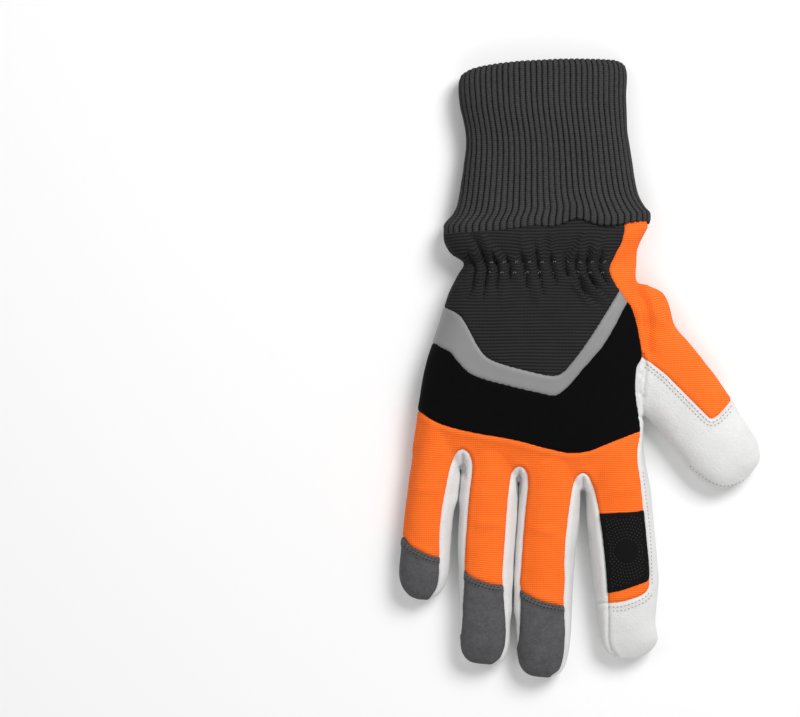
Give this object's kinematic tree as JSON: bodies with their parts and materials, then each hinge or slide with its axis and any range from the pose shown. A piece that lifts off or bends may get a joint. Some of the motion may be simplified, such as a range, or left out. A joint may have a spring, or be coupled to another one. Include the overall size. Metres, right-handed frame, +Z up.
{
  "type": "padded leather work glove for the right hand",
  "caption": "Right-hand work glove with a hollow hand, leather palm, cloth and neoprene back, fingertip caps and a ribbed knit cuff.",
  "frame": {"origin": "the middle of the glove's box, at the table that it lies on, palm down", "axes": "+Z up out of the back of the hand, +Y towards the mouth of the cuff, +X towards the thumb"},
  "size_m": [0.179, 0.3083, 0.0294],
  "materials": {
    "white_leather": "soft grained goatskin, satin",
    "ribbed_back_cloth": "ottoman weave with fine ribs across the hand, matt",
    "reflective_tape": "woven reflective tape, dull silver",
    "neoprene": "brushed stretch neoprene, matt",
    "orange_cloth": "high-visibility stretch twill, matt",
    "dark_suede": "short-napped synthetic suede, matt",
    "grey_suede": "short-napped synthetic suede, matt",
    "touch_cloth": "smooth touch-screen cloth with raised dots",
    "rib_knit": "doubled 1 by 1 rib knit, matt",
    "moulded_rubber": "moulded, satin, with a fine grid"
  },
  "bodies": {
    "root": {"palm_leather": "white_leather", "back_cloth": "ribbed_back_cloth", "reflective_stripe": "reflective_tape", "knuckle_panel": "neoprene", "finger_back_cloth": "orange_cloth", "little_fingertip_cap": "dark_suede", "ring_fingertip_cap": "dark_suede", "middle_fingertip_cap": "dark_suede", "thumb_back_cloth": "orange_cloth", "thumb_back_leather": "white_leather", "little_ring_gusset": "white_leather", "ring_middle_gusset": "white_leather", "middle_index_gusset": "white_leather", "touch_patch": "touch_cloth", "rib_cuff": "rib_knit", "cuff_tab": "grey_suede", "cuff_badge": "moulded_rubber"}
  },
  "joints": []
}
